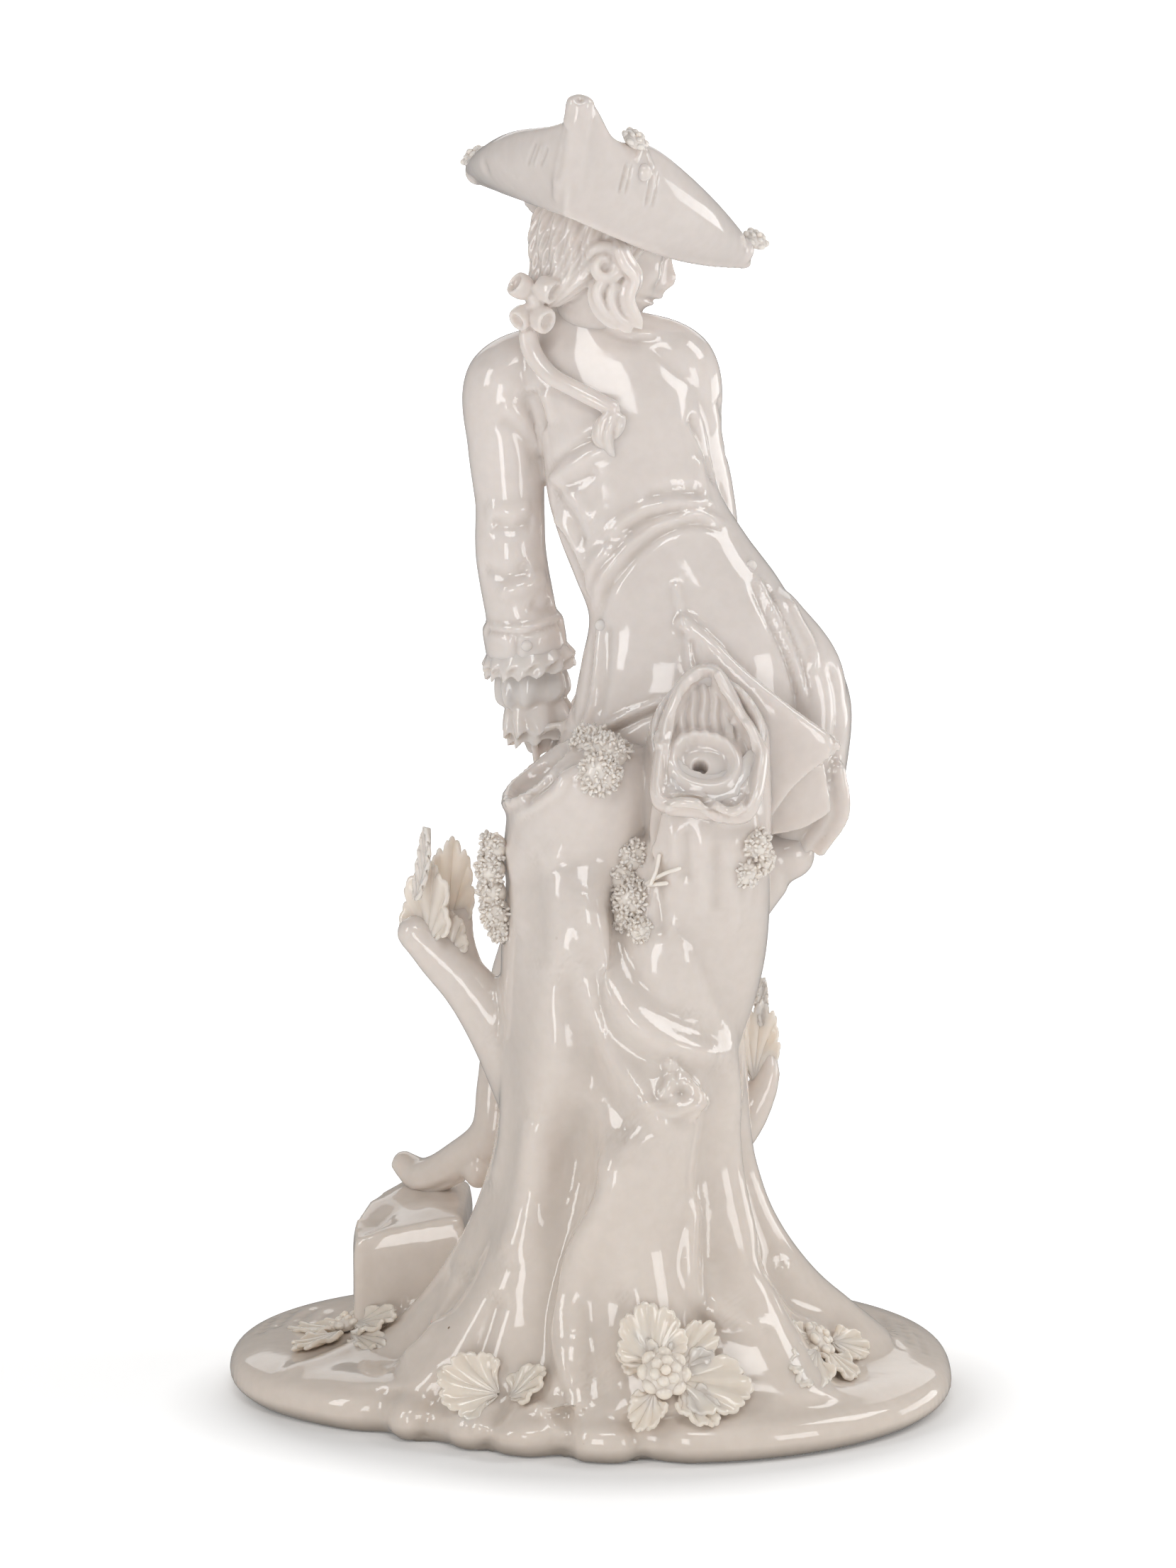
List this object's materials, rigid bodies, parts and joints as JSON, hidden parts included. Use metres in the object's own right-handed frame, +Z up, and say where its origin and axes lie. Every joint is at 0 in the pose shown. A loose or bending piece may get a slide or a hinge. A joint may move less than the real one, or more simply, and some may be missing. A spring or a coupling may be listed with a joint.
{
  "type": "porcelain figure",
  "caption": "Glazed porcelain figure of a gentleman in a three-cornered hat and long coat, leaning on a tree trunk on a mound base.",
  "frame": {"origin": "centre of the flat underside", "axes": "+Z up, -Y towards the picture's camera, which sees the figure's back, +X to the right in the picture"},
  "size_m": [0.1477, 0.107, 0.2664],
  "materials": {
    "porcelain": "clear glossy glaze over warm white porcelain"
  },
  "bodies": {
    "root": {"porcelain_figure": "porcelain"}
  },
  "joints": []
}
